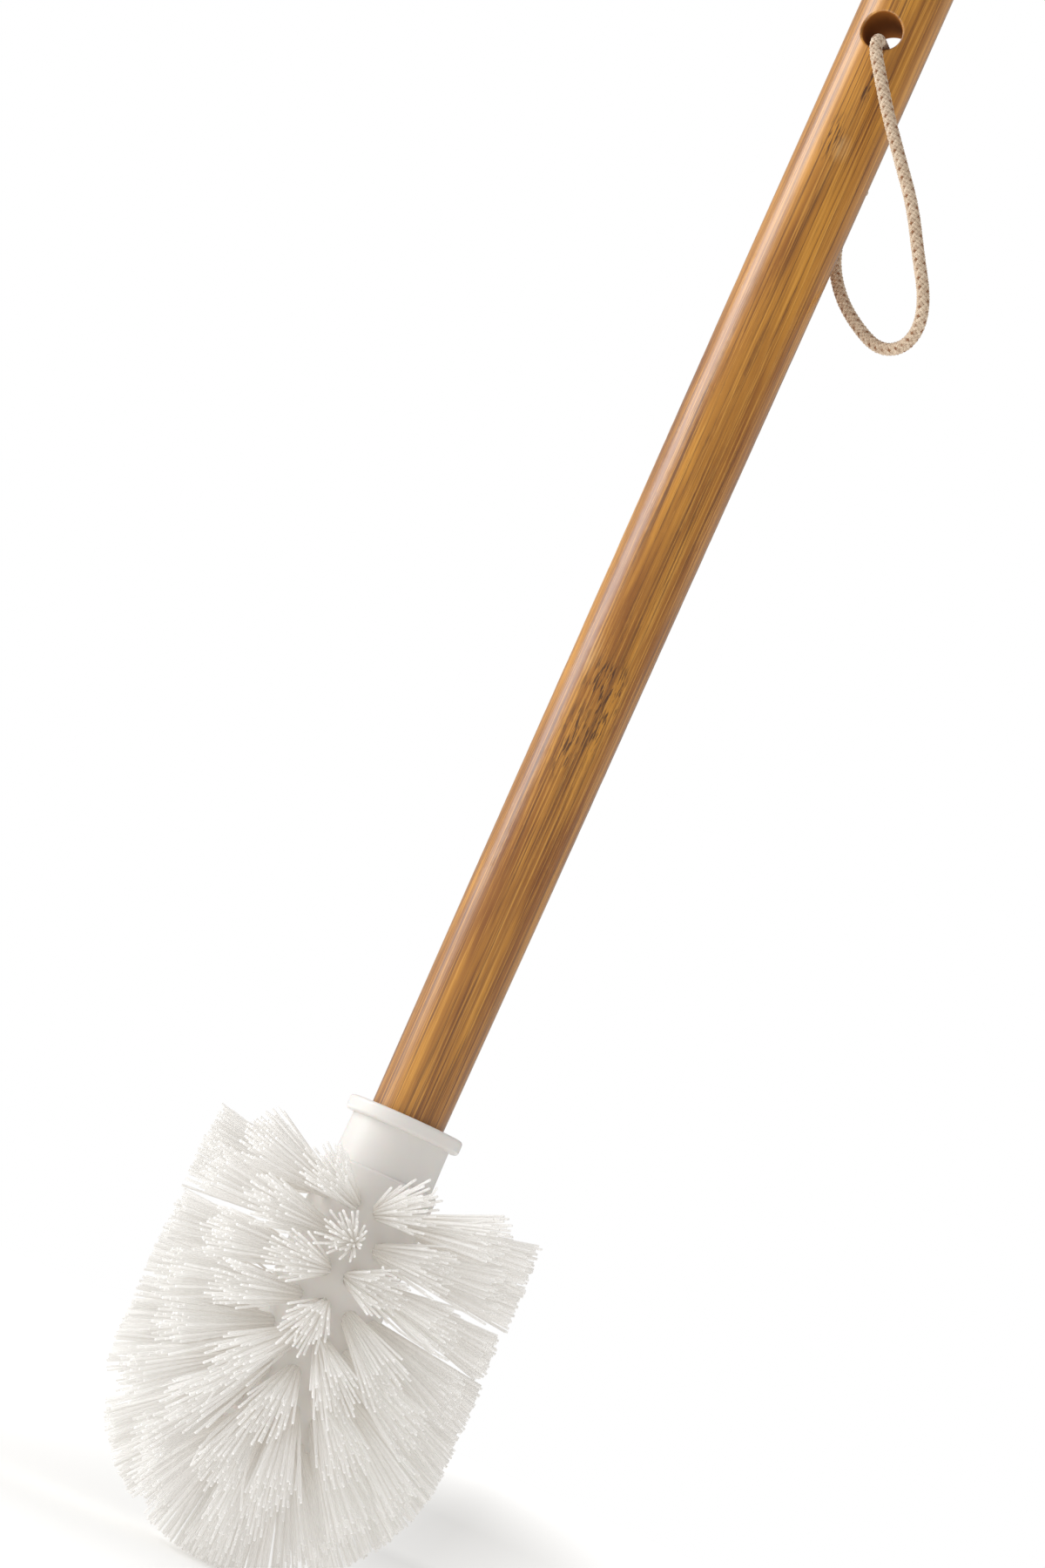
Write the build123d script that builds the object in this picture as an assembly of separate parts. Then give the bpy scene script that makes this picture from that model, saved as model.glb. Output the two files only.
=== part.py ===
from build123d import *
import os
from math import asin, cos, degrees, pi, radians, sin, sqrt, tan

# A toilet brush: a turned bamboo handle screwed into a moulded white head, whose core carries
# ten rows of nylon tufts, and a loop of cotton cord through the handle's cross hole.
# It stands upright: the bristles' lowest point is at z = 0, the handle's axis is the Z axis and
# the cross hole runs along Y. All lengths are in millimetres, all angles in degrees.

# Trimmed outline of the bristles: a cylinder that ends in a half ball, which touches z = 0
trim_radius = 41.2
trim_top_height = 96.5

# Moulded head: core with a round nose, shoulder, collar and flange, from the bottom up
core_radius = 14.0
core_straight_length = 56.6
shoulder_rounding = 0.8
collar_height = 10.9
collar_bottom_diameter = 24.6
collar_top_diameter = 24.2
flange_diameter = 28.5
flange_thickness = 3.6
flange_rounding = 0.9
socket_depth = 12.0

# Handle
handle_bottom_diameter = 18.0
handle_middle_diameter = 19.3
handle_top_diameter = 20.0
handle_fit_clearance = 0.15       # gap round the handle in its socket
handle_foot_chamfer = 0.8
hang_hole_diameter = 9.4
hang_hole_above_flange = 279.0
hang_hole_rounding = 0.5
full_width_below_hole = 14.0      # where the slow swelling ends
swell_slope = 0.008               # how fast the radius grows just above the flange
handle_above_hole = 19.0
handle_end_rounding = 2.2

# Dowel screw: wood thread into the handle, the same thread into the core
screw_outer_diameter = 5.0
screw_root_diameter = 3.7
screw_pitch = 2.4
screw_shank_length = 4.0
screw_turns_in_handle = 6
screw_turns_in_core = 7
crest_start = 0.15                # where a thread's crest starts, as a share of the pitch
screw_bite = 0.35                 # how far the thread's crests cut into their pilot holes

# Tufts: bundles folded round a flat wire anchor and driven into round holes in the core
tuft_hole_diameter = 4.0
tuft_hole_depth = 4.8
tuft_hole_clearance = 0.04
tuft_tip_diameter = 11.6
tuft_flare_start = 0.3            # how far above the hole's rim a tuft starts to spread
anchor_thickness = 0.45
anchor_height = 1.9
anchor_bite = 0.3                 # how far each end of an anchor cuts into the core
anchor_above_hole_floor = 0.7
first_row_below_shoulder = 8.3
tufts_per_straight_row = 12
# how far each row on the core's side points down
side_row_dips = [-8.0, -3.0, 5.0, 13.0, 19.0, 26.0, 40.0]
# rows on the nose, down to its tip: how many tufts, dip, and the wall, measured round the core,
# between their holes and the holes of the row above
nose_rows = [(8, 51.0, 3.91), (4, 72.0, 1.86), (1, 90.0, 2.11)]

# Hanging cord: a loop through the cross hole, tied in a knot behind the handle
cord_diameter = 3.2
knot_diameter = 9.2
knot_rounding = 3.4
tail_length = 10.0                # from the knot's middle
tail_dip = 52.0
tail_azimuths = [62.0, 158.0]     # both behind the handle

# Heights that follow from the sizes above
ball_centre_height = trim_radius
shoulder_height = ball_centre_height + core_straight_length
flange_under_height = shoulder_height + collar_height
flange_top_height = flange_under_height + flange_thickness
socket_floor_height = flange_top_height - socket_depth
hang_hole_height = flange_top_height + hang_hole_above_flange
handle_end_height = hang_hole_height + handle_above_hole

# How far round the nose each of its rows lies below the ball centre's level, counted up from
# the tip at 90, and where that leaves the last row on the side
nose_turns = [degrees((tuft_hole_diameter + wall) / core_radius) for count, dip, wall in nose_rows]
nose_angles = [90.0 - sum(nose_turns[i + 1:]) for i in range(len(nose_rows))]
last_row_angle = radians(nose_angles[0] - nose_turns[0])
last_row_below_ball_centre = core_radius * (sin(last_row_angle) if last_row_angle > 0
                                            else last_row_angle)
rows_length = core_straight_length + last_row_below_ball_centre - first_row_below_shoulder
row_pitch = rows_length / (len(side_row_dips) - 1)

# Cord's route from the knot's top, over the back rim, through the hole, down in front and
# round the loop's bottom, back up to the knot: measured from the cross hole's centre
cord_route = [
    (0.7, 15.7, -19.0), (0.7, 15.4, -13.0), (0.6, 14.8, -6.6), (0.5, 12.4, -2.7),
    (0.3, 4.4, -2.4), (0.4, -4.6, -2.5), (0.7, -12.2, -2.6), (1.5, -14.4, -5.6),
    (5.5, -14.5, -11.5), (11.0, -14.0, -19.5), (18.0, -13.5, -28.5), (25.0, -12.0, -37.5),
    (30.5, -10.0, -47.5), (36.0, -9.6, -56.4), (37.0, -6.1, -63.3), (33.6, -1.2, -68.1),
    (27.1, 2.9, -69.1), (19.4, 5.8, -65.0), (12.4, 9.0, -59.5), (6.8, 11.3, -52.0),
    (3.9, 13.9, -43.0), (1.8, 15.2, -35.5), (0.8, 15.7, -29.0),
]


def turned(outline):
    """A solid of revolution about Z from an outline given as (radius, height) points."""
    face = make_face(Polyline(*[(r, 0, h) for r, h in outline], close=True))
    return revolve(face, axis=Axis.Z)


def plan_direction(azimuth, dip):
    """The unit direction that points outwards at an azimuth and below level by the dip."""
    flat = cos(radians(dip))
    return Vector(flat * cos(radians(azimuth)), flat * sin(radians(azimuth)), -sin(radians(dip)))


def trim_solid():
    """The space inside the trimmed bristles: a cylinder on a half ball."""
    barrel_height = trim_top_height - ball_centre_height
    barrel = Cylinder(trim_radius, barrel_height)
    barrel = Pos(0, 0, ball_centre_height + barrel_height / 2) * barrel
    return barrel + Pos(0, 0, ball_centre_height) * Sphere(trim_radius)


def tuft_rows():
    """Each row as a list of tufts, a tuft being (mouth on the core, direction, lean)."""
    rows = []
    spacing = 360.0 / tufts_per_straight_row
    for i, dip in enumerate(side_row_dips):
        height = shoulder_height - first_row_below_shoulder - i * row_pitch
        below = max(0.0, ball_centre_height - height)
        round_nose = degrees(asin(below / core_radius))
        start = spacing / 2 * (i % 2)
        rows.append([tuft_at(start + k * spacing, round_nose, height, dip)
                     for k in range(tufts_per_straight_row)])
    for (count, dip, wall), round_nose in zip(nose_rows, nose_angles):
        rows.append([tuft_at(spacing / 2 + k * 360.0 / count, round_nose, None, dip)
                     for k in range(count)])
    return rows


def tuft_at(azimuth, round_nose, height, dip):
    """One tuft's mouth, direction and lean off the core's surface there."""
    outward = plan_direction(azimuth, round_nose)
    if round_nose > 0:
        mouth = Vector(0, 0, ball_centre_height) + outward * core_radius
    else:
        mouth = Vector(0, 0, height) + outward * core_radius
    return mouth, plan_direction(azimuth, dip), dip - round_nose


def along(mouth, direction):
    """A plane whose Z axis runs along a tuft, and whose X axis stays level."""
    level = Vector(-direction.Y, direction.X, 0)
    level = level if level.length > 0.001 else Vector(1, 0, 0)
    return Plane(origin=mouth, x_dir=level, z_dir=direction)


def tuft_hole(mouth, direction):
    """The drilled hole for a tuft, run on past the core's surface so that it cuts clean."""
    length = tuft_hole_depth + tuft_hole_diameter
    return along(mouth, direction) * Pos(0, 0, length / 2 - tuft_hole_depth) * Cylinder(
        tuft_hole_diameter / 2, length)


def anchor(mouth, direction):
    """The flat wire that holds a tuft: it lies level across the hole, near its floor."""
    middle = anchor_above_hole_floor + anchor_height / 2 - tuft_hole_depth
    width = tuft_hole_diameter + 2 * anchor_bite
    return along(mouth, direction) * Pos(0, 0, middle) * Box(width, anchor_thickness, anchor_height)


def tuft(mouth, direction, lean, trim):
    """A bundle of bristles: a plug in its hole that spreads to the trimmed outline."""
    root_radius = tuft_hole_diameter / 2 - tuft_hole_clearance
    tip_radius = tuft_tip_diameter / 2
    flare = tuft_hole_diameter / 2 * tan(radians(abs(lean))) + tuft_flare_start
    reach = trim_reach(mouth, direction)
    past_trim = reach + tip_radius
    spread = (tip_radius - root_radius) / (reach - flare)
    end_radius = tip_radius + spread * tip_radius
    outline = [(0, tuft_hole_clearance - tuft_hole_depth),
               (root_radius, tuft_hole_clearance - tuft_hole_depth),
               (root_radius, flare), (end_radius, past_trim), (0, past_trim)]
    bundle = along(mouth, direction) * turned(outline)
    return (bundle & trim) - anchor(mouth, direction)


def trim_reach(mouth, direction):
    """How far along its direction a tuft meets the trimmed outline."""
    across = Vector(mouth.X, mouth.Y, 0)
    flat = Vector(direction.X, direction.Y, 0)
    if flat.length > 0.001:
        reach = (trim_radius - across.length) / flat.length
        if mouth.Z + direction.Z * reach >= ball_centre_height:
            return reach
    from_centre = mouth - Vector(0, 0, ball_centre_height)
    half = from_centre.dot(direction)
    return sqrt(half * half + trim_radius ** 2 - from_centre.length ** 2) - half


def make_screw():
    """Dowel screw: a plain shank with thread crests above and below, and pointed ends."""
    outer = screw_outer_diameter / 2
    root = screw_root_diameter / 2
    half_shank = screw_shank_length / 2

    def flank(turns, side):
        points = []
        for i in range(turns):
            foot = half_shank + i * screw_pitch
            points += [(root, side * (foot + crest_start * screw_pitch)),
                       (outer, side * (foot + 0.5 * screw_pitch)),
                       (root, side * (foot + (1 - crest_start) * screw_pitch))]
        end = half_shank + turns * screw_pitch
        tip = side * (end + root)
        return points + [(root, side * end), (root / 3, tip), (0, tip)]

    upper = flank(screw_turns_in_handle, 1)
    lower = flank(screw_turns_in_core, -1)
    outline = list(reversed(upper)) + [(outer, half_shank), (outer, -half_shank)] + lower
    return Pos(0, 0, socket_floor_height) * turned(outline)


def pilot_hole(turns, side):
    """The hole one end of the screw goes into: its shank's room, then a tight pilot."""
    half_shank = screw_shank_length / 2
    pilot_length = half_shank + turns * screw_pitch + screw_root_diameter
    shank_room = Cylinder(screw_outer_diameter / 2 + handle_fit_clearance, half_shank)
    pilot = Cylinder(screw_outer_diameter / 2 - screw_bite, pilot_length)
    placed = Pos(0, 0, side * half_shank / 2) * shank_room
    placed += Pos(0, 0, side * pilot_length / 2) * pilot
    return Pos(0, 0, socket_floor_height) * placed


def make_handle():
    """Bamboo handle: straight in its socket, then a slow swelling to the rounded end."""
    bottom = handle_bottom_diameter / 2
    top = handle_top_diameter / 2
    full_height = hang_hole_height - full_width_below_hole
    middle_height = (flange_top_height + full_height) / 2
    swell = Spline((bottom, 0, flange_top_height), (handle_middle_diameter / 2, 0, middle_height),
                   (top, 0, full_height), tangents=[(swell_slope, 0, 1), (0, 0, 1)])
    foot = Polyline((0, 0, socket_floor_height), (bottom, 0, socket_floor_height),
                    (bottom, 0, flange_top_height))
    end = Polyline((top, 0, full_height), (top, 0, handle_end_height), (0, 0, handle_end_height),
                   (0, 0, socket_floor_height))
    handle = revolve(make_face(foot + swell + end), axis=Axis.Z)
    ends = handle.edges().filter_by(GeomType.CIRCLE).sort_by(Axis.Z)
    handle = fillet(ends[-1], handle_end_rounding)
    ends = handle.edges().filter_by(GeomType.CIRCLE).sort_by(Axis.Z)
    handle = chamfer(ends[0], handle_foot_chamfer)
    handle -= pilot_hole(screw_turns_in_handle, 1)
    cross = Cylinder(hang_hole_diameter / 2, 2 * handle_top_diameter)
    before = handle.edges()
    handle -= Pos(0, 0, hang_hole_height) * Rot(90, 0, 0) * cross
    rims = [e for e in handle.edges() - before
            if abs(e.center().Z - hang_hole_height) < hang_hole_rounding
            and abs(e.center().Y) > handle_top_diameter / 4]
    return fillet(rims, hang_hole_rounding)


def make_head_core(rows):
    """White moulding: round-nosed core, shoulder, drafted collar and rounded flange."""
    core = Pos(0, 0, ball_centre_height + core_straight_length / 2) * Cylinder(
        core_radius, core_straight_length)
    shoulder = core.edges().filter_by(GeomType.CIRCLE).sort_by(Axis.Z)[-1]
    core = fillet(shoulder, shoulder_rounding)
    core += Pos(0, 0, ball_centre_height) * Sphere(core_radius)
    collar = Pos(0, 0, shoulder_height + collar_height / 2) * Cone(
        collar_bottom_diameter / 2, collar_top_diameter / 2, collar_height)
    flange = Pos(0, 0, flange_under_height + flange_thickness / 2) * Cylinder(
        flange_diameter / 2, flange_thickness)
    flange = fillet(flange.edges().filter_by(GeomType.CIRCLE), flange_rounding)
    core = core + collar + flange
    socket = Cylinder(handle_bottom_diameter / 2 + handle_fit_clearance, socket_depth)
    core -= Pos(0, 0, socket_floor_height + socket_depth / 2) * socket
    core -= pilot_hole(screw_turns_in_core, -1)
    return core - [tuft_hole(mouth, direction) for row in rows for mouth, direction, lean in row]


def make_cord():
    """Hanging cord: a tube of straight runs joined by tangent arcs, and its knot."""
    centre = Vector(0, 0, hang_hole_height)
    points = [centre + Vector(p) for p in cord_route]
    runs = [points[i + 1] - points[i] for i in range(len(points) - 1)]
    radii = []
    for before, after in zip(runs, runs[1:]):
        half_turn = radians(before.get_angle(after)) / 2
        radii.append(0.45 * min(before.length, after.length) / tan(half_turn))
    path = FilletPolyline(*points, radius=radii)
    tube = sweep(Plane(origin=path @ 0, z_dir=path % 0) * Circle(cord_diameter / 2), path=path)
    section = pi * cord_diameter ** 2 / 4
    print("cord length %.1f, volume / (section x length) %.4f" % (
        path.length, tube.volume / (section * path.length)))
    print("cord radii", [round(r, 1) for r in radii])
    return tube, make_knot(points[0], points[-1])


def make_knot(top, bottom):
    """The knot between the cord's two ends, with two cut tails that hang down behind it."""
    middle = (top + bottom) / 2
    line = top - bottom
    body = Cylinder(knot_diameter / 2, line.length)
    body = fillet(body.edges().filter_by(GeomType.CIRCLE), knot_rounding)
    knot = Plane(origin=middle, z_dir=line, x_dir=(1, 0, 0)) * body
    for azimuth in tail_azimuths:
        tail = Pos(0, 0, tail_length / 2) * Cylinder(cord_diameter / 2, tail_length)
        knot += Plane(origin=middle, z_dir=plan_direction(azimuth, tail_dip)) * tail
    return knot


def save(shape, name):
    shape.label = name
    export_step(shape, "parts/" + name + ".step")
    print(name, len(shape.solids()), round(shape.volume, 1))


def main():
    os.makedirs("parts", exist_ok=True)
    rows = tuft_rows()
    trim = trim_solid()
    save(make_handle(), "handle")
    save(make_screw(), "dowel_screw")
    save(make_head_core(rows), "head_core")
    for number, row in enumerate(rows, start=1):
        save(Compound([tuft(*t, trim).solids()[0] for t in row]), "tufts_row_%d" % number)
        save(Compound([anchor(t[0], t[1]).solids()[0] for t in row]), "anchors_row_%d" % number)
    cord, knot = make_cord()
    save(cord, "hanging_cord")
    save(knot, "cord_knot")


main()
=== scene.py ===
import bpy
import numpy as np
from math import cos, pi, radians, sin
from mathutils import Matrix, Vector


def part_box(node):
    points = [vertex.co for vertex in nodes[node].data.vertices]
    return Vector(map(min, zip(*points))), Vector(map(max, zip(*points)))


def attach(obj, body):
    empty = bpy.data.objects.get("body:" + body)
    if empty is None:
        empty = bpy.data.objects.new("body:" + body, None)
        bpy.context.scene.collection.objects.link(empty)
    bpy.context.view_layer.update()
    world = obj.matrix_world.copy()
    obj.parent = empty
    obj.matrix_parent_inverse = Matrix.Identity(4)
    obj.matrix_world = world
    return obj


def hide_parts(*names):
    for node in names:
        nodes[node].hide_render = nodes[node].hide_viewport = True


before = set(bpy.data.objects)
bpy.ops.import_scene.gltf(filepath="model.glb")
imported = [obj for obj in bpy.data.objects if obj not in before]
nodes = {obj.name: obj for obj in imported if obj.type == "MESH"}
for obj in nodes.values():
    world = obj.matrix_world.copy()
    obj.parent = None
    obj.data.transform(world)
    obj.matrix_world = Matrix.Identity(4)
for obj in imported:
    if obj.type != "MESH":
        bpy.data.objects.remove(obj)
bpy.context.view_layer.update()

# A toilet brush standing on its bristles: a lacquered bamboo handle, a white moulded head with
# ten rows of nylon tufts, and a loop of braided cotton cord through the handle's cross hole.
# Everything is in metres in the frame's own axes. mm turns a size in millimetres into metres.

mm = 0.001
holeAboveFlange = 279 * mm
drawSeed = 4127
scene = bpy.context.scene
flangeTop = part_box("head_core")[1][2]
holeCentre = np.array([0.0, 0.0, flangeTop + holeAboveFlange])
draws = np.random.default_rng(drawSeed)


# one sRGB colour, 0 to 255, as linear RGBA
def linear(red, green, blue):
    shares = [level / 255 for level in (red, green, blue)]
    return tuple(share / 12.92 if share <= 0.04045 else ((share + 0.055) / 1.055) ** 2.4
                 for share in shares) + (1.0,)


# a smooth mesh piece at the origin, riding on a body
def meshPiece(name, points, faces, body, material):
    mesh = bpy.data.meshes.new(name)
    mesh.from_pydata([tuple(point) for point in points], [], faces)
    mesh.update()
    mesh.shade_smooth()
    piece = bpy.data.objects.new(name, mesh)
    scene.collection.objects.link(piece)
    mesh.materials.append(material)
    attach(piece, body)
    return piece


# a material's tree, with the few nodes that these finishes need
class Shader:
    def __init__(self, name):
        self.material = bpy.data.materials.new(name)
        self.material.use_nodes = True
        self.tree = self.material.node_tree
        self.tree.nodes.clear()
        self.output = self.add("ShaderNodeOutputMaterial")
        self.bsdf = self.add("ShaderNodeBsdfPrincipled")
        self.surface(self.bsdf.outputs[0])

    def add(self, kind, **settings):
        node = self.tree.nodes.new(kind)
        for name, value in settings.items():
            setattr(node, name, value)
        return node

    # a number or colour is set on the socket, another node's output is linked to it
    def put(self, socket, value):
        if isinstance(value, bpy.types.NodeSocket):
            self.tree.links.new(value, socket)
        else:
            socket.default_value = value

    def surface(self, socket):
        self.tree.links.new(socket, self.output.inputs["Surface"])

    def principled(self, **values):
        for name, value in values.items():
            self.put(self.bsdf.inputs[name.replace("_", " ")], value)

    def objectPoint(self, scale=(1, 1, 1), shift=(0, 0, 0)):
        coordinates = self.add("ShaderNodeTexCoord")
        mapping = self.add("ShaderNodeMapping")
        mapping.inputs["Scale"].default_value = scale
        mapping.inputs["Location"].default_value = shift
        self.put(mapping.inputs["Vector"], coordinates.outputs["Object"])
        return mapping.outputs[0]

    def noise(self, scale, detail, roughness=0.55, shift=(0, 0, 0)):
        node = self.add("ShaderNodeTexNoise")
        node.inputs["Scale"].default_value = 1.0
        node.inputs["Detail"].default_value = detail
        node.inputs["Roughness"].default_value = roughness
        self.put(node.inputs["Vector"], self.objectPoint(scale, shift))
        return node.outputs[0]

    def attribute(self, name):
        return self.add("ShaderNodeAttribute", attribute_name=name).outputs["Fac"]

    def math(self, operation, *values):
        node = self.add("ShaderNodeMath", operation=operation)
        for socket, value in zip(node.inputs, values):
            self.put(socket, value)
        return node.outputs[0]

    # LENGTH of a vector, or its DOT_PRODUCT with a way
    def measure(self, operation, vector, way=(0, 0, 0)):
        node = self.add("ShaderNodeVectorMath", operation=operation)
        self.put(node.inputs[0], vector)
        node.inputs[1].default_value = way
        return node.outputs["Value"]

    def span(self, value, low, high, start=0.0, end=1.0):
        node = self.add("ShaderNodeMapRange")
        for socket, number in zip(node.inputs[1:5], (low, high, start, end)):
            socket.default_value = number
        self.put(node.inputs["Value"], value)
        return node.outputs[0]

    def blend(self, share, first, second):
        node = self.add("ShaderNodeMix", data_type="RGBA")
        self.put(node.inputs["Factor"], share)
        self.put(node.inputs[6], first)
        self.put(node.inputs[7], second)
        return node.outputs[2]

    def bump(self, height, strength, distance):
        node = self.add("ShaderNodeBump")
        node.inputs["Strength"].default_value = strength
        node.inputs["Distance"].default_value = distance
        self.put(node.inputs["Height"], height)
        self.put(self.bsdf.inputs["Normal"], node.outputs[0])


# Grain layers are noise that is stretched along the handle: where in the noise a layer shows,
# how strongly and in what colour. A mark is placed by its distance right of the handle's middle
# and below the hole, and by its half sizes across and along, all in millimetres.
bambooLook = {
    "broad": {"scale": (170, 170, 16), "detail": 3, "roughness": 0.6, "shift": (0, 0, 0)},
    "broadSpan": (0.36, 0.64), "dark": (142, 82, 8), "light": (208, 142, 40),
    "bands": {"scale": (420, 420, 8), "detail": 3, "roughness": 0.6, "shift": (2, 4, 1)},
    "bandSpan": (0.45, 0.62), "bandShare": 0.5, "bandColour": (140, 80, 10),
    "fibres": {"scale": (1900, 1900, 22), "detail": 4, "roughness": 0.7, "shift": (0, 0, 0)},
    "fibreSpan": (0.5, 0.62), "fibreShare": 0.6, "fibreColour": (228, 164, 66),
    "lines": {"scale": (1500, 1500, 12), "detail": 4, "roughness": 0.7, "shift": (3, 7, 0)},
    "lineSpan": (0.52, 0.62), "lineShare": 0.75, "lineColour": (96, 52, 8),
    "dashes": {"scale": (2300, 2300, 240), "detail": 2, "roughness": 0.5, "shift": (1, 5, 2)},
    "dashSpan": (0.52, 0.6), "dashShare": 0.85, "dashColour": (74, 38, 8),
    "dashMarks": [(0.2, 28, 3.4, 7), (2.6, 14, 1.6, 6), (2.4, 168, 6.0, 8), (5.5, 176, 3.5, 16),
                  (1.0, 184, 4.0, 12)],
    # the paler patches beside the nodes: partly the nodes' rough grain, partly a painted highlight on it
    "roughSpan": (0.42, 0.6), "roughShare": 0.4, "roughColour": (222, 178, 120),
    "roughMarks": [(3.0, 30, 2.6, 4), (-2.0, 163, 2.4, 6)],
    "markFade": (0.4, 1.0), "markFront": (-4 * mm, -2 * mm),
    "bareSpan": (4.78 * mm, 4.95 * mm), "bareColour": (150, 92, 40),
    "roughness": (0.42, 0.95), "specular": (0.15, 0.05), "coatRoughness": 0.33, "coatIOR": 1.7,
    "bumpStrength": 0.25, "bumpDepth": 0.08 * mm}


# 1 at a mark's middle on the handle's front, falling to 0 at its half sizes
def markMask(shader, mark):
    across, below, halfAcross, halfAlong = (size * mm for size in mark)
    scale = (1 / halfAcross, 0.0, 1 / halfAlong)
    shift = (-across / halfAcross, 0.0, -(holeCentre[2] - below) / halfAlong)
    length = shader.measure("LENGTH", shader.objectPoint(scale, shift))
    near = shader.span(length, *bambooLook["markFade"], 1.0, 0.0)
    depth = shader.measure("DOT_PRODUCT", shader.objectPoint(), (0, 1, 0))
    front = shader.span(depth, *bambooLook["markFront"], 1.0, 0.0)
    return shader.math("MULTIPLY", near, front)


# lacquered bamboo: fibres along the handle, two growth nodes, and bare wood in the hole
def bambooFinish():
    look = bambooLook
    shader = Shader("bamboo")
    broad = shader.span(shader.noise(**look["broad"]), *look["broadSpan"])
    colour = shader.blend(broad, linear(*look["dark"]), linear(*look["light"]))
    fibres = shader.noise(**look["fibres"])
    for layer, name in ((shader.noise(**look["bands"]), "band"), (fibres, "fibre"),
                        (shader.noise(**look["lines"]), "line")):
        share = shader.math("MULTIPLY", shader.span(layer, *look[name + "Span"]), look[name + "Share"])
        colour = shader.blend(share, colour, linear(*look[name + "Colour"]))
    # the growth nodes are clusters of fine short dashes, each beside a paler speckled patch: partly the
    # node's rough grain, partly a painted highlight on it
    dashes = shader.span(shader.noise(**look["dashes"]), *look["dashSpan"])
    # speckle for the paler patches beside the nodes, partly a painted highlight
    roughness = shader.span(fibres, *look["roughSpan"])
    for name, pattern in (("dash", dashes), ("rough", roughness)):
        for mark in look[name + "Marks"]:
            share = shader.math("MULTIPLY", markMask(shader, mark), pattern)
            share = shader.math("MULTIPLY", share, look[name + "Share"])
            colour = shader.blend(share, colour, linear(*look[name + "Colour"]))
    # inside the cross hole the wood is bare and dark
    fromHole = shader.measure("LENGTH", shader.objectPoint((1, 0, 1), (0, 0, -holeCentre[2])))
    bare = shader.span(fromHole, *look["bareSpan"], 1.0, 0.0)
    colour = shader.blend(bare, colour, linear(*look["bareColour"]))
    shader.principled(Base_Color=colour, Coat_Weight=shader.span(bare, 0, 1, 1.0, 0.0))
    shader.principled(Roughness=shader.span(bare, 0, 1, *look["roughness"]))
    shader.principled(Specular_IOR_Level=shader.span(bare, 0, 1, *look["specular"]))
    shader.principled(Coat_Roughness=look["coatRoughness"], Coat_IOR=look["coatIOR"])
    shader.bump(fibres, look["bumpStrength"], look["bumpDepth"])
    return shader.material


whiteLook = {"colour": (0.84, 0.815, 0.785, 1), "roughness": 0.32, "subsurface": 0.15,
             "subsurfaceDepth": 1.5 * mm, "bumpScale": (600, 600, 600), "bumpStrength": 0.04,
             "bumpDepth": 0.05 * mm}


def whiteFinish():
    look = whiteLook
    shader = Shader("whitePlastic")
    shader.principled(Base_Color=look["colour"], Roughness=look["roughness"])
    shader.principled(Subsurface_Weight=look["subsurface"], Subsurface_Scale=look["subsurfaceDepth"])
    shader.bump(shader.noise(look["bumpScale"], 2), look["bumpStrength"], look["bumpDepth"])
    return shader.material


# the glow colour and strength are painted light: a faint warm emission for light scattered between
# filaments
nylonLook = {"root": (0.85, 0.825, 0.79, 1), "tip": (0.985, 0.983, 0.98, 1), "span": (0.05, 0.6),
             "dull": (0.74, 0.725, 0.70, 1), "dullShare": 0.5, "roughness": 0.36,
             "glow": (1.0, 0.965, 0.91, 1), "paintedScatterGlowStrength": 0.168, "through": 0.4}


# translucent filaments: pale at the cut ends, a little darker and warmer towards the roots. They also glow
# faintly and warmly, which is painted light standing in for light scattered between the filaments
def nylonFinish():
    look = nylonLook
    shader = Shader("bristleNylon")
    colour = shader.blend(shader.span(shader.attribute("along"), *look["span"]), look["root"], look["tip"])
    share = shader.span(shader.attribute("tone"), 0.0, 1.0, 0.0, look["dullShare"])
    colour = shader.blend(share, colour, look["dull"])
    shader.principled(Base_Color=colour, Roughness=look["roughness"])
    # painted light: a faint warm glow that stands in for light scattered between the filaments
    shader.principled(Emission_Color=look["glow"], Emission_Strength=look["paintedScatterGlowStrength"])
    through = shader.add("ShaderNodeBsdfTranslucent")
    shader.put(through.inputs["Color"], colour)
    both = shader.add("ShaderNodeMixShader")
    both.inputs[0].default_value = look["through"]
    shader.put(both.inputs[1], shader.bsdf.outputs[0])
    shader.put(both.inputs[2], through.outputs[0])
    shader.surface(both.outputs[0])
    return shader.material


# the core colour is painted shade: the core shows darker in the gaps between strands
cottonLook = {"mottleScale": (700, 700, 700), "mottleSpan": (0.35, 0.7), "dark": (0.58, 0.44, 0.31, 1),
              "light": (0.76, 0.615, 0.46, 1), "tracer": (0.27, 0.12, 0.05, 1),
              "core": (0.34, 0.235, 0.15, 1), "roughness": 0.9, "sheen": 0.25,
              "fuzzScale": (5200, 5200, 5200), "fuzzStrength": 0.35, "fuzzDepth": 0.06 * mm}


# natural cotton with brown tracer dots, darker in the gaps between strands, where the core is coloured
# darker as painted shade; the other set of strands also carries a faint painted shade in the tracer brown
def cottonFinish():
    look = cottonLook
    shader = Shader("cottonCord")
    mottle = shader.span(shader.noise(look["mottleScale"], 3), *look["mottleSpan"])
    colour = shader.blend(mottle, look["dark"], look["light"])
    # tracer dots, and a faint painted shade on the other set of strands, in the tracer brown
    colour = shader.blend(shader.attribute("tracerDotAndShade"), colour, look["tracer"])
    # painted shade: the core, seen in the gaps between strands, takes the darker core colour
    colour = shader.blend(shader.attribute("paintedGapShade"), colour, look["core"])
    shader.principled(Base_Color=colour, Roughness=look["roughness"], Sheen_Weight=look["sheen"])
    shader.bump(shader.noise(look["fuzzScale"], 2), look["fuzzStrength"], look["fuzzDepth"])
    return shader.material


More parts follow.
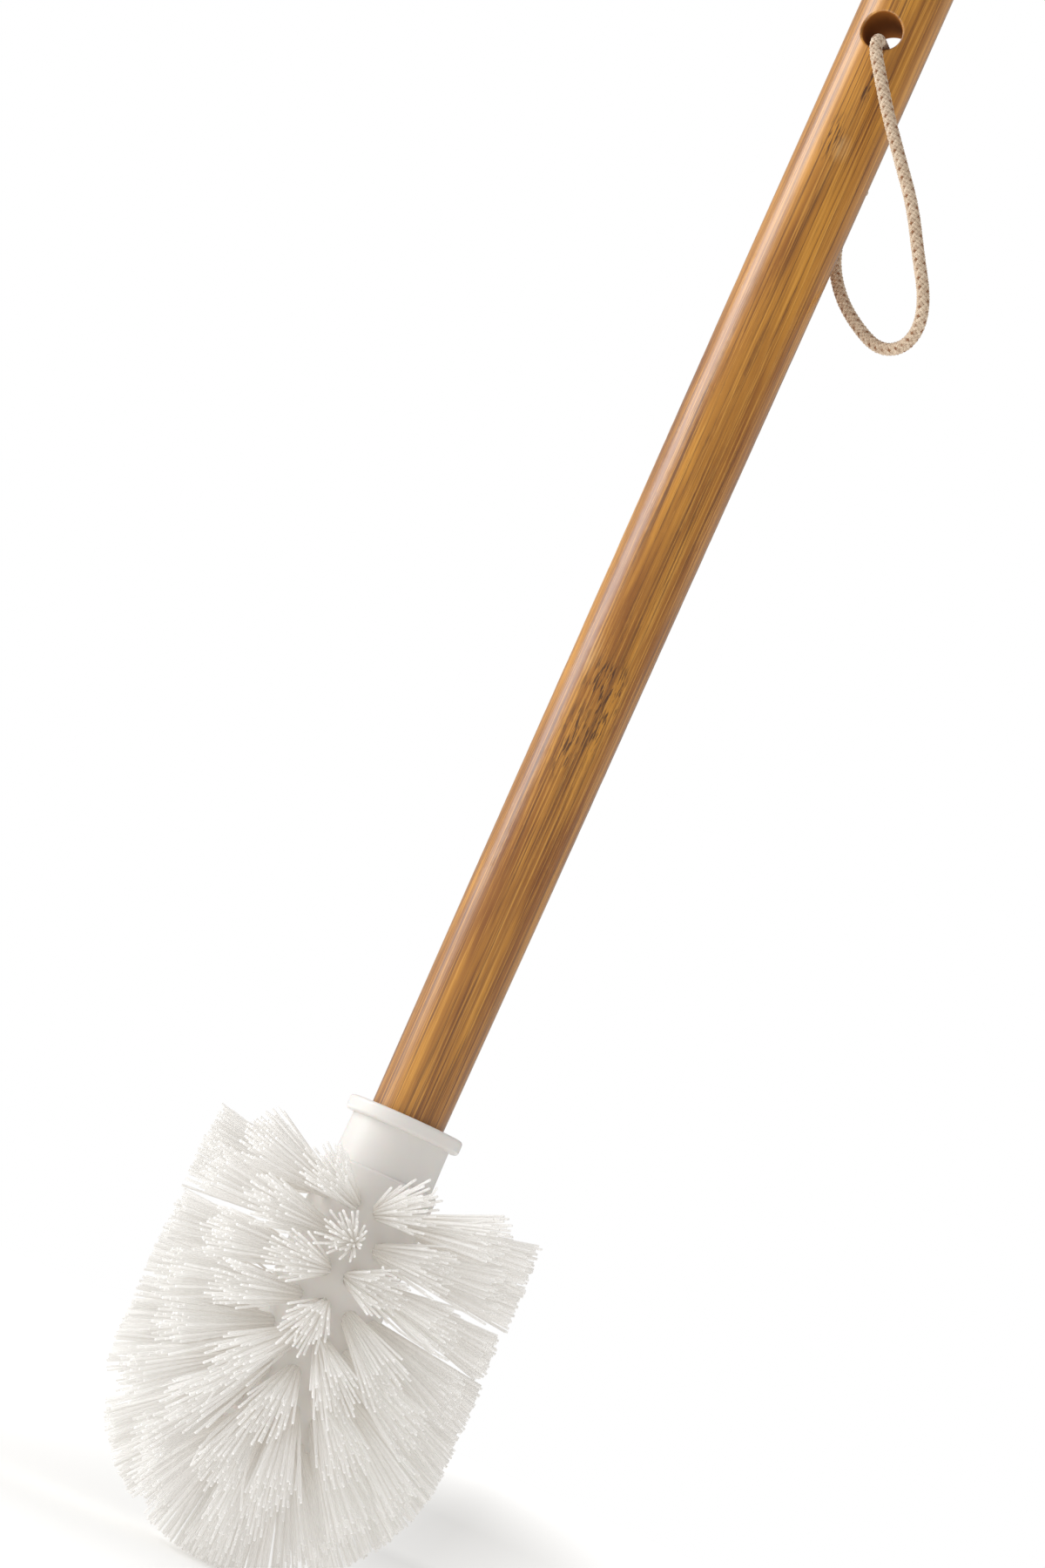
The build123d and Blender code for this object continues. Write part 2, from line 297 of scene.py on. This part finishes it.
metalLook = {"screwSteel": {"colour": (0.62, 0.61, 0.58, 1), "roughness": 0.34},
             "anchorSteel": {"colour": (0.60, 0.60, 0.58, 1), "roughness": 0.4},
             "grainScale": (1500, 1500, 200), "grainSpan": (0.3, 0.7), "smoother": 0.06, "rougher": 0.08}


def metalFinish(name):
    look = metalLook[name]
    shader = Shader(name)
    grain = shader.noise(metalLook["grainScale"], 2)
    shader.principled(Base_Color=look["colour"], Metallic=1.0)
    shader.principled(Roughness=shader.span(grain, *metalLook["grainSpan"],
                                            look["roughness"] - metalLook["smoother"],
                                            look["roughness"] + metalLook["rougher"]))
    return shader.material


bamboo = bambooFinish()
whitePlastic = whiteFinish()
nylon = nylonFinish()
cotton = cottonFinish()
screwSteel = metalFinish("screwSteel")
anchorSteel = metalFinish("anchorSteel")

nodeFinish = {"handle": bamboo, "head_core": whitePlastic, "dowel_screw": screwSteel}
nodeFinish.update({"anchors_row_%d" % number: anchorSteel for number in range(1, 11)})
for nodeName, finish in nodeFinish.items():
    nodes[nodeName].data.materials.clear()
    nodes[nodeName].data.materials.append(finish)
print("finishes ready")

# The brush stands upright, so the camera is rolled instead of the brush leaning.
# aside points right and toCamera towards the camera, both level.
view = {"azimuth": radians(15.844), "distance": 1.3061, "height": 0.0658, "roll": radians(24.141),
        "aimHeight": 0.1945, "aimAside": -0.00735, "lens": 128.77, "sensor": 36, "near": 0.05}
aside = Vector((cos(view["azimuth"]), sin(view["azimuth"]), 0))
toCamera = Vector((sin(view["azimuth"]), -cos(view["azimuth"]), 0))
cameraPlace = toCamera * view["distance"] + Vector((0, 0, view["height"]))
aim = aside * view["aimAside"] + Vector((0, 0, view["aimHeight"]))
forward = (aim - cameraPlace).normalized()
level = forward.cross(Vector((0, 0, 1))).normalized()
upright = level.cross(forward)
rolledRight = level * cos(view["roll"]) + upright * sin(view["roll"])
rolledUp = upright * cos(view["roll"]) - level * sin(view["roll"])
cameraData = bpy.data.cameras.new("camera")
cameraData.lens = view["lens"]
cameraData.sensor_width = view["sensor"]
cameraData.clip_start = view["near"]
camera = bpy.data.objects.new("camera", cameraData)
turn = Matrix((rolledRight, rolledUp, -forward)).transposed().to_4x4()
camera.matrix_world = Matrix.Translation(cameraPlace) @ turn
scene.collection.objects.link(camera)
scene.camera = camera
scene.view_settings.view_transform = "Standard"

# a key light from the left and a weak one from behind on the right, aimed at the brush's middle
lightTarget = Vector((0, 0, 0.2))
lights = {"key": {"from": -aside * 0.97 + Vector((0, 0, 0.3)), "size": 0.6,
                  "watts": 5.2, "colour": (0.97, 0.99, 1.0)},
          "rim": {"from": aside * 0.9 - toCamera * 0.5 + Vector((0, 0, 0.4)), "size": 0.7,
                  "watts": 0.3, "colour": (1.0, 1.0, 1.0)}}
for lightName, light in lights.items():
    lampData = bpy.data.lights.new(lightName, "AREA")
    lampData.shape = "SQUARE"
    lampData.size = light["size"]
    lampData.energy = light["watts"]
    lampData.color = light["colour"]
    lamp = bpy.data.objects.new(lightName, lampData)
    lamp.location = lightTarget + light["from"]
    lamp.rotation_euler = (-light["from"]).to_track_quat("-Z", "Y").to_euler()
    scene.collection.objects.link(lamp)

# The room lights the brush softly, and is plain white where the camera sees it. Its walls are
# darker in front and to the right, and dimmer in what the lacquer mirrors.
roomLook = {"darkWay": (toCamera * 0.75 + aside * 0.66).normalized(), "from": -0.6, "to": 0.95,
            "bright": 0.92, "dark": 0.44, "mirrored": 0.45, "colour": (1, 0.985, 0.965, 1)}
world = bpy.data.worlds.new("softRoom")
world.use_nodes = True
room = world.node_tree
room.nodes.clear()
worldOutput = room.nodes.new("ShaderNodeOutputWorld")
lightPath = room.nodes.new("ShaderNodeLightPath")
roomWay = room.nodes.new("ShaderNodeTexCoord")
towards = room.nodes.new("ShaderNodeVectorMath")
towards.operation = "DOT_PRODUCT"
towards.inputs[1].default_value = roomLook["darkWay"]
roomDim = room.nodes.new("ShaderNodeMapRange")
for socket, settingName in zip(roomDim.inputs[1:5], ("from", "to", "bright", "dark")):
    socket.default_value = roomLook[settingName]
mirrorDim = room.nodes.new("ShaderNodeMapRange")
mirrorDim.inputs[3].default_value = 1.0
mirrorDim.inputs[4].default_value = roomLook["mirrored"]
roomStrength = room.nodes.new("ShaderNodeMath")
roomStrength.operation = "MULTIPLY"
roomLight = room.nodes.new("ShaderNodeBackground")
roomLight.inputs["Color"].default_value = roomLook["colour"]
seenWhite = room.nodes.new("ShaderNodeBackground")
seenWhite.inputs["Color"].default_value = (1, 1, 1, 1)
eitherWhite = room.nodes.new("ShaderNodeMixShader")
for source, target in ((roomWay.outputs["Generated"], towards.inputs[0]),
                       (towards.outputs["Value"], roomDim.inputs["Value"]),
                       (lightPath.outputs["Is Glossy Ray"], mirrorDim.inputs["Value"]),
                       (roomDim.outputs[0], roomStrength.inputs[0]),
                       (mirrorDim.outputs[0], roomStrength.inputs[1]),
                       (roomStrength.outputs[0], roomLight.inputs["Strength"]),
                       (lightPath.outputs["Is Camera Ray"], eitherWhite.inputs[0]),
                       (roomLight.outputs[0], eitherWhite.inputs[1]),
                       (seenWhite.outputs[0], eitherWhite.inputs[2]),
                       (eitherWhite.outputs[0], worldOutput.inputs[0])):
    room.links.new(source, target)
scene.world = world

# The floor glows white, less so near the brush, where its contact shade shows. A long soft painted shadow
# lies behind the brush
# and drifts to the right as it runs back: there the floor's glow is taken down.
floorLook = {"half": 3.0, "colour": (0.93, 0.93, 0.925, 1), "roughness": 0.9, "nearGlow": 0.16,
             "farGlow": 0.55, "farFrom": 0.08, "farTo": 0.6, "slant": 0.05, "middle": 0.03,
             "core": 0.005, "edge": 0.15, "backTo": 0.5, "fadeFrom": 1.2, "fadeTo": 3.0,
             "depth": 0.52}
floorHalf = floorLook["half"]
floorMesh = bpy.data.meshes.new("floor")
floorCorners = [(-floorHalf, -floorHalf, 0), (floorHalf, -floorHalf, 0),
                (floorHalf, floorHalf, 0), (-floorHalf, floorHalf, 0)]
floorMesh.from_pydata(floorCorners, [], [(0, 1, 2, 3)])
floor = bpy.data.objects.new("floor", floorMesh)
scene.collection.objects.link(floor)
floorShader = Shader("floor")
floorPoint = floorShader.objectPoint()
fromBrush = floorShader.measure("LENGTH", floorPoint)
# the painted shadow: a soft lobe behind the brush, strongest along a line that drifts right as it runs
# back
rightOfShade = floorShader.measure("DOT_PRODUCT", floorPoint, aside + toCamera * floorLook["slant"])
offShade = floorShader.math("ABSOLUTE", floorShader.math("SUBTRACT", rightOfShade, floorLook["middle"]))
acrossShade = floorShader.span(offShade, floorLook["core"], floorLook["edge"], 1.0, 0.0)
behind = floorShader.measure("DOT_PRODUCT", floorPoint, -toCamera)
shadeStarts = floorShader.span(behind, 0.0, floorLook["backTo"])
shadeFades = floorShader.span(behind, floorLook["fadeFrom"], floorLook["fadeTo"], 1.0, 0.0)
alongShade = floorShader.math("MULTIPLY", shadeStarts, shadeFades)
paintedFloorShadow = floorShader.math("MULTIPLY", acrossShade, alongShade)
paintedFloorShadow = floorShader.math("MULTIPLY", paintedFloorShadow, floorLook["depth"])
floorGlow = floorShader.span(fromBrush, floorLook["farFrom"], floorLook["farTo"],
                             floorLook["nearGlow"], floorLook["farGlow"])
floorShader.principled(Base_Color=floorLook["colour"], Roughness=floorLook["roughness"])
# the painted shadow is taken off the floor's glow
floorShader.principled(Emission_Strength=floorShader.math("SUBTRACT", floorGlow, paintedFloorShadow))
floorShader.principled(Emission_Color=(1, 1, 1, 1))
floorMesh.materials.append(floorShader.material)
print("camera, light and floor ready")

# The cord is a round braid of two sets of strands, one turning each way, and strands says how
# many each set has. Its route is in millimetres from the cross hole's centre: up from the knot's
# top behind the handle, through the hole to the front, down round the loop and up to the knot.
cord = {"diameter": 3.2 * mm, "strands": 8, "strandWidth": 0.74 * mm, "strandThickness": 0.36 * mm,
        "pitch": 8.8 * mm, "weave": 0.18 * mm, "step": 0.3 * mm, "sides": 6, "coreSides": 10,
        "coreGap": 0.1 * mm, "dotFrom": 0.35, "faintPaintedShade": 0.38, "faintShadeFrom": -0.2, "exitShare": 0.15,
        "route": [(0.7, 15.7, -19.0), (0.7, 15.4, -13.0), (0.6, 14.8, -6.6), (0.5, 12.4, -2.7),
                  (0.3, 4.4, -2.4), (0.4, -4.6, -2.5), (0.7, -12.2, -2.6), (1.5, -14.4, -5.6),
                  (5.5, -14.5, -11.5), (11.0, -14.0, -19.5), (18.0, -13.5, -28.5),
                  (25.0, -12.0, -37.5), (30.5, -10.0, -47.5), (36.0, -9.6, -56.4),
                  (37.0, -6.1, -63.3), (33.6, -1.2, -68.1), (27.1, 2.9, -69.1),
                  (19.4, 5.8, -65.0), (12.4, 9.0, -59.5), (6.8, 11.3, -52.0),
                  (3.9, 13.9, -43.0), (1.8, 15.2, -35.5), (0.8, 15.7, -29.0)]}


# the smooth line that a NURBS spline draws through a route, as an array
def splinePoints(name, points):
    curve = bpy.data.curves.new(name, "CURVE")
    curve.dimensions = "3D"
    curve.resolution_u = 12
    spline = curve.splines.new("NURBS")
    spline.points.add(len(points) - 1)
    for point, place in zip(spline.points, points):
        point.co = (*place, 1.0)
    spline.order_u = 3
    spline.use_endpoint_u = True
    holder = bpy.data.objects.new(name, curve)
    scene.collection.objects.link(holder)
    bpy.context.view_layer.update()
    line = bpy.data.meshes.new_from_object(holder)
    places = np.array([vertex.co[:] for vertex in line.vertices])
    bpy.data.meshes.remove(line)
    bpy.data.objects.remove(holder)
    bpy.data.curves.remove(curve)
    return places


# vectors brought to length one
def unit(vectors):
    return vectors / np.linalg.norm(vectors, axis=-1, keepdims=True)


# the same line with points an even step apart, and the distance of each along it
def evenly(places, step):
    gaps = np.linalg.norm(np.diff(places, axis=0), axis=1)
    places = places[np.concatenate([[True], gaps > 1e-7])]
    reached = np.concatenate([[0], np.cumsum(np.linalg.norm(np.diff(places, axis=0), axis=1))])
    count = int(round(reached[-1] / step)) + 1
    distance = np.linspace(0, reached[-1], count)
    return np.stack([np.interp(distance, reached, places[:, axis]) for axis in range(3)], 1), distance


# two side vectors at each point of a line, which turn with it without twisting
def carriedSides(line):
    tangents = unit(np.gradient(line, axis=0))
    offTheLine = (0.31, 0.27, 0.91)
    side = unit(np.cross(tangents[0], offTheLine))
    sides = []
    for tangent in tangents:
        side = unit(side - tangent * (side @ tangent))
        sides.append(side)
    sides = np.array(sides)
    return sides, np.cross(tangents, sides)


# rings of points round a line, with a half size along each of two side vectors
def ringsRound(line, first, firstHalf, second, secondHalf, count):
    corner = 2 * pi * np.arange(count) / count
    rings = (line[:, None] + first[:, None] * (np.cos(corner) * firstHalf)[None, :, None]
             + second[:, None] * (np.sin(corner) * secondHalf)[None, :, None])
    return rings.reshape(-1, 3)


# quads round a tube and a cap on each end, facing outwards
def tubeFaces(rings, ringSize, first):
    faces = []
    for ring in range(rings - 1):
        here = first + ring * ringSize
        for corner in range(ringSize):
            after = (corner + 1) % ringSize
            faces.append((here + corner, here + after,
                          here + ringSize + after, here + ringSize + corner))
    last = first + (rings - 1) * ringSize
    faces.append(tuple(first + corner for corner in reversed(range(ringSize))))
    faces.append(tuple(last + corner for corner in range(ringSize)))
    return faces


# a braid along a line: points, faces, tracer dots with a faint painted shade, marks for the core's painted
# gap shade, and the evened line
def braid(places, step):
    line, distance = evenly(places, step)
    sides, ups = carriedSides(line)
    strands, pitch, ringSize = cord["strands"], cord["pitch"], cord["sides"]
    middle = cord["diameter"] / 2 - cord["weave"] - cord["strandThickness"] / 2
    crest = np.cos(2 * pi * distance * strands / pitch)
    row = np.round(distance * strands / pitch).astype(int)
    points, faces, tracerDotsAndShade, gapShades = [], [], [], []
    for way in (1, -1):
        for strand in range(strands):
            angle = way * 2 * pi * distance / pitch + 2 * pi * strand / strands
            out = sides * np.cos(angle)[:, None] + ups * np.sin(angle)[:, None]
            centre = line + out * (middle + way * cord["weave"] * crest)[:, None]
            run = unit(np.gradient(centre, axis=0))
            wide = unit(np.cross(out, run))
            faces += tubeFaces(len(line), ringSize, sum(map(len, points)))
            points.append(ringsRound(centre, wide, cord["strandWidth"] / 2,
                                     np.cross(run, wide), cord["strandThickness"] / 2, ringSize))
            if way == 1:
                column = np.round(angle * strands / (2 * pi)).astype(int) % strands
                checked = (column % 2 == 0) & ((row + column // 2) % 2 == 0)
                marked = 1.0 * (checked & (crest > cord["dotFrom"]))
            else:
                # the other set's odd strands get a faint painted shade in the tracer brown at one phase of
                # the weave
                marked = cord["faintPaintedShade"] * ((strand % 2 == 1) & (crest < cord["faintShadeFrom"]))
            tracerDotsAndShade.append(np.repeat(marked, ringSize))
            gapShades.append(np.zeros(len(line) * ringSize))
    # the core closes the gaps between strands; its darker colour is painted shade in those gaps
    coreSides, coreRadius = cord["coreSides"], middle - cord["coreGap"]
    faces += tubeFaces(len(line), coreSides, sum(map(len, points)))
    points.append(ringsRound(line, sides, coreRadius, ups, coreRadius, coreSides))
    tracerDotsAndShade.append(np.zeros(len(line) * coreSides))
    gapShades.append(np.ones(len(line) * coreSides))
    return np.concatenate(points), faces, np.concatenate(tracerDotsAndShade), np.concatenate(gapShades), line


def addMarks(piece, tracerDotsAndShade, gapShades):
    for attributeName, values in (("tracerDotAndShade", tracerDotsAndShade), ("paintedGapShade", gapShades)):
        attribute = piece.data.attributes.new(attributeName, "FLOAT", "POINT")
        attribute.data.foreach_set("value", values.astype(np.float32))


cordRoute = np.array(cord["route"]) * mm + holeCentre
cordLine = splinePoints("cordLine", cordRoute)
points, faces, tracerDotsAndShade, gapShades, cordPath = braid(cordLine, cord["step"])
cordPiece = meshPiece("braidedCord", points, faces, "hanging_loop", cotton)
addMarks(cordPiece, tracerDotsAndShade, gapShades)
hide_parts("hanging_cord")
cordLength = float(np.linalg.norm(np.diff(cordPath, axis=0), axis=1).sum())
print("cord length", round(cordLength / mm, 1), "mm")

# The knot is three wraps between the cord's two ends, and two cut tails that hang behind it.
knot = {"wraps": 3, "wrapRadius": 3.0 * mm, "pointsPerWrap": 40, "tailStart": 2 * mm,
        "tailLength": 9.5 * mm, "tailPoints": 8, "tailDip": radians(52),
        "tailAzimuths": (radians(62), radians(158)), "step": 0.4 * mm}
knotTop, knotBottom = cordRoute[0], cordRoute[-1]
knotMiddle = (knotTop + knotBottom) / 2
knotAxis = unit(knotTop - knotBottom)
acrossX = unit(np.array([1.0, 0, 0]) - knotAxis * knotAxis[0])
acrossY = np.cross(knotAxis, acrossX)
turns = np.linspace(0, 2 * pi * knot["wraps"], knot["pointsPerWrap"] * knot["wraps"])
rise = (turns / turns[-1] - 0.5) * knot["wraps"] * cord["diameter"]
wrapAngle = turns + knot["tailAzimuths"][0]
wrapRings = acrossX * np.cos(wrapAngle)[:, None] + acrossY * np.sin(wrapAngle)[:, None]
knotParts = [knotMiddle + knotAxis * rise[:, None] + knot["wrapRadius"] * wrapRings]
for tailAzimuth in knot["tailAzimuths"]:
    outward = np.array([cos(tailAzimuth) * cos(knot["tailDip"]),
                        sin(tailAzimuth) * cos(knot["tailDip"]), -sin(knot["tailDip"])])
    tailReach = np.linspace(knot["tailStart"], knot["tailLength"], knot["tailPoints"])
    knotParts.append(knotMiddle + outward * tailReach[:, None])
points, faces, tracerDotsAndShade, gapShades = [], [], [], []
for part in knotParts:
    partPoints, partFaces, partTracerDotsAndShade, partGapShades, _ = braid(part, knot["step"])
    offset = sum(map(len, points))
    faces += [tuple(corner + offset for corner in face) for face in partFaces]
    points.append(partPoints)
    tracerDotsAndShade.append(partTracerDotsAndShade)
    gapShades.append(partGapShades)
knotPiece = meshPiece("cordKnot", np.concatenate(points), faces, "hanging_loop", cotton)
addMarks(knotPiece, np.concatenate(tracerDotsAndShade), np.concatenate(gapShades))
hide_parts("cord_knot")
print("cord and knot ready")

# Bristles: every tuft starts in its hole in the core, fans out and is trimmed to one outline,
# a cylinder on a half ball. turn is the golden angle, which spaces a tuft's filaments evenly.
bristle = {"diameter": 0.63 * mm, "perTuft": 46, "points": 6, "sides": 5,
           "rootRadius": 1.75 * mm, "rootDepth": 2.0 * mm, "turn": 2.39996, "tipRadius": 6.3 * mm,
           "tipDistance": 28 * mm, "noseSpread": 1.22, "splay": 0.1, "tuftLean": 0.05,
           "tipScatter": 0.13 * mm, "cutScatter": 0.4 * mm, "bow": 0.12 * mm, "leastBow": 0.2,
           "strayShare": 0.04, "strayBow": 3.0 * mm}
trim = {"radius": 41.2 * mm, "ballCentre": 41.2 * mm, "coreRadius": 14.0 * mm,
        "straightLength": 56.6 * mm, "firstRowDown": 8.3 * mm, "rowPitch": 8.4 * mm,
        "tuftsPerSideRow": 12, "spacing": 30, "stagger": 15}
# each side row's dip, and each nose row's tufts, angle round the nose and dip
sideDips = [-8.0, -3.0, 5.0, 13.0, 19.0, 26.0, 40.0]
noseRows = [(8, 41.0, 51.0), (4, 65.0, 72.0), (1, 90.0, 90.0)]


# the direction at an azimuth that points down by a dip
def outwards(azimuth, dip):
    azimuthTurn, dipTurn = radians(azimuth), radians(dip)
    return np.array([cos(dipTurn) * cos(azimuthTurn), cos(dipTurn) * sin(azimuthTurn), -sin(dipTurn)])


# mouth and direction of every tuft, row by row from the top
def tuftRows():
    rows = []
    ball = np.array([0, 0, trim["ballCentre"]])
    firstRowHeight = trim["ballCentre"] + trim["straightLength"] - trim["firstRowDown"]
    for number, dip in enumerate(sideDips):
        height = firstRowHeight - number * trim["rowPitch"]
        below = max(0.0, trim["ballCentre"] - height)
        roundNose = np.degrees(np.arcsin(below / trim["coreRadius"]))
        foot = ball if roundNose > 0 else np.array([0, 0, height])
        start = trim["stagger"] * (number % 2)
        azimuths = [start + trim["spacing"] * tuft for tuft in range(trim["tuftsPerSideRow"])]
        rows.append([(foot + outwards(azimuth, roundNose) * trim["coreRadius"],
                      outwards(azimuth, dip)) for azimuth in azimuths])
    for count, roundNose, dip in noseRows:
        azimuths = [trim["stagger"] + tuft * 360 / count for tuft in range(count)]
        rows.append([(ball + outwards(azimuth, roundNose) * trim["coreRadius"],
                      outwards(azimuth, dip)) for azimuth in azimuths])
    return rows


# how far each straight filament goes until it meets the trimmed cylinder or ball
def reachToTrim(start, ways):
    flat = np.linalg.norm(ways[:, :2], axis=1) + 1e-9
    alongFlat = (start[:, :2] * ways[:, :2]).sum(1) / flat ** 2
    insideFlat = ((start[:, :2] ** 2).sum(1) - trim["radius"] ** 2) / flat ** 2
    cylinder = -alongFlat + np.sqrt(np.maximum(alongFlat * alongFlat - insideFlat, 0))
    fromBall = start - (0, 0, trim["ballCentre"])
    half = (fromBall * ways).sum(1)
    ball = -half + np.sqrt(half ** 2 - (fromBall ** 2).sum(1) + trim["radius"] ** 2)
    onSide = start[:, 2] + ways[:, 2] * cylinder >= trim["ballCentre"]
    return np.where(onSide, cylinder, ball)


# root, reach, bow and tone of each filament in one row
def rowFilaments(row):
    roots, reaches, bows, tones = [], [], [], []
    count = bristle["perTuft"]
    spreadOut = bristle["noseSpread"] if len(row) < trim["tuftsPerSideRow"] else 1.0
    tipRadius = bristle["tipRadius"] * spreadOut
    for mouth, direction in row:
        levelSide = np.array([-direction[1], direction[0], 0.0])
        if np.linalg.norm(levelSide) < 1e-3:
            levelSide = np.array([1.0, 0, 0])
        levelSide = unit(levelSide)
        across = np.cross(direction, levelSide)
        share = np.sqrt((np.arange(count) + 0.5) / count)
        angle = np.arange(count) * bristle["turn"] + draws.uniform(0, 2 * pi)
        spread = share * (1 + draws.normal(0, bristle["splay"], count))
        rim = levelSide * np.cos(angle)[:, None] + across * np.sin(angle)[:, None]
        root = mouth - direction * bristle["rootDepth"] + rim * (share * bristle["rootRadius"])[:, None]
        lean = (levelSide * draws.normal(0, bristle["tuftLean"])
                + across * draws.normal(0, bristle["tuftLean"]))
        aimed = (mouth + (direction + lean) * bristle["tipDistance"]
                 + rim * (spread * tipRadius)[:, None]
                 + draws.normal(0, bristle["tipScatter"], (count, 3)))
        ways = unit(aimed - root)
        stray = draws.random(count) < bristle["strayShare"]
        length = reachToTrim(root, ways) + draws.uniform(-1, 1, count) * bristle["cutScatter"]
        sideways = draws.normal(0, 1, (count, 3))
        sideways = unit(sideways - ways * (sideways * ways).sum(1)[:, None])
        size = np.where(stray, bristle["strayBow"], bristle["bow"])
        size = size * draws.uniform(bristle["leastBow"], 1, count)
        roots.append(root)
        reaches.append(ways * length[:, None])
        bows.append(sideways * size[:, None])
        tones.append(draws.random(count))
    return [np.concatenate(values) for values in (roots, reaches, bows, tones)]


# geometry nodes that grow a bent round filament from every vertex of a row
def growTree():
    tree = bpy.data.node_groups.new("growFilaments", "GeometryNodeTree")
    sizes = (("Geometry", "NodeSocketGeometry"), ("Filament Radius", "NodeSocketFloat"),
             ("Points", "NodeSocketInt"), ("Sides", "NodeSocketInt"),
             ("Material", "NodeSocketMaterial"))
    for socketName, kind in sizes:
        tree.interface.new_socket(socketName, in_out="INPUT", socket_type=kind)
    tree.interface.new_socket("Geometry", in_out="OUTPUT", socket_type="NodeSocketGeometry")

    def add(kind, **settings):
        node = tree.nodes.new(kind)
        for settingName, value in settings.items():
            setattr(node, settingName, value)
        return node

    def link(source, target):
        tree.links.new(source, target)

    def named(attributeName):
        node = add("GeometryNodeInputNamedAttribute", data_type="FLOAT_VECTOR")
        node.inputs["Name"].default_value = attributeName
        return node.outputs["Attribute"]

    # a math node whose two inputs are each a number or another node's output
    def reckon(operation, *values):
        node = add("ShaderNodeMath", operation=operation)
        for socket, value in zip(node.inputs, values):
            if isinstance(value, bpy.types.NodeSocket):
                link(value, socket)
            else:
                socket.default_value = value
        return node.outputs[0]

    given = add("NodeGroupInput")
    done = add("NodeGroupOutput")
    line = add("GeometryNodeCurvePrimitiveLine")
    resampled = add("GeometryNodeResampleCurve")
    link(line.outputs[0], resampled.inputs["Curve"])
    link(given.outputs["Points"], resampled.inputs["Count"])
    onPoints = add("GeometryNodeInstanceOnPoints")
    link(given.outputs["Geometry"], onPoints.inputs["Points"])
    link(resampled.outputs[0], onPoints.inputs["Instance"])
    realised = add("GeometryNodeRealizeInstances")
    link(onPoints.outputs[0], realised.inputs[0])

    # a place is root + reach * part + bow * arch: part runs from 0 to 1 along a filament, and
    # arch is 4 * part * (1 - part), which is 1 at the middle and 0 at both ends
    part = add("GeometryNodeSplineParameter").outputs["Factor"]
    arch = reckon("MULTIPLY", reckon("MULTIPLY", part, reckon("SUBTRACT", 1.0, part)), 4.0)
    place = named("root")
    for attributeName, share in (("reach", part), ("bow", arch)):
        scaled = add("ShaderNodeVectorMath", operation="SCALE")
        link(named(attributeName), scaled.inputs[0])
        link(share, scaled.inputs["Scale"])
        total = add("ShaderNodeVectorMath", operation="ADD")
        link(place, total.inputs[0])
        link(scaled.outputs[0], total.inputs[1])
        place = total.outputs[0]
    moved = add("GeometryNodeSetPosition")
    link(realised.outputs[0], moved.inputs["Geometry"])
    link(place, moved.inputs["Position"])
    along = add("GeometryNodeStoreNamedAttribute", data_type="FLOAT", domain="POINT")
    along.inputs["Name"].default_value = "along"
    link(moved.outputs[0], along.inputs["Geometry"])
    link(part, along.inputs["Value"])

    circle = add("GeometryNodeCurvePrimitiveCircle")
    link(given.outputs["Sides"], circle.inputs["Resolution"])
    link(given.outputs["Filament Radius"], circle.inputs["Radius"])
    tubes = add("GeometryNodeCurveToMesh")
    link(along.outputs[0], tubes.inputs["Curve"])
    link(circle.outputs[0], tubes.inputs["Profile Curve"])
    tubes.inputs["Fill Caps"].default_value = True
    plain = add("GeometryNodeRealizeInstances")
    link(tubes.outputs[0], plain.inputs[0])
    painted = add("GeometryNodeSetMaterial")
    link(plain.outputs[0], painted.inputs["Geometry"])
    link(given.outputs["Material"], painted.inputs["Material"])
    link(painted.outputs[0], done.inputs[0])
    return tree


growFilaments = growTree()
socketIds = {item.name: item.identifier for item in growFilaments.interface.items_tree
             if item.in_out == "INPUT"}
for rowNumber, row in enumerate(tuftRows(), start=1):
    roots, reaches, bows, tones = rowFilaments(row)
    seedMesh = bpy.data.meshes.new("seeds_%d" % rowNumber)
    seedMesh.from_pydata([tuple(root) for root in roots], [], [])
    for attributeName, values in (("root", roots), ("reach", reaches), ("bow", bows)):
        attribute = seedMesh.attributes.new(attributeName, "FLOAT_VECTOR", "POINT")
        attribute.data.foreach_set("vector", values.astype(np.float32).ravel())
    toneAttribute = seedMesh.attributes.new("tone", "FLOAT", "POINT")
    toneAttribute.data.foreach_set("value", tones.astype(np.float32))
    rowPiece = bpy.data.objects.new("bristles_row_%d" % rowNumber, seedMesh)
    scene.collection.objects.link(rowPiece)
    grow = rowPiece.modifiers.new("grow", "NODES")
    grow.node_group = growFilaments
    inputs = {"Filament Radius": bristle["diameter"] / 2, "Points": bristle["points"],
              "Sides": bristle["sides"], "Material": nylon}
    for socketName, value in inputs.items():
        grow[socketIds[socketName]] = value
    bpy.context.view_layer.update()
    depsgraph = bpy.context.evaluated_depsgraph_get()
    grown = bpy.data.meshes.new_from_object(rowPiece.evaluated_get(depsgraph),
                                            preserve_all_data_layers=True, depsgraph=depsgraph)
    rowPiece.modifiers.remove(grow)
    rowPiece.data = grown
    bpy.data.meshes.remove(seedMesh)
    grown.shade_smooth()
    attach(rowPiece, "brush")
    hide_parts("tufts_row_%d" % rowNumber)
    print("row", rowNumber, "filaments", len(roots), "faces", len(grown.polygons))
print("bristles ready")
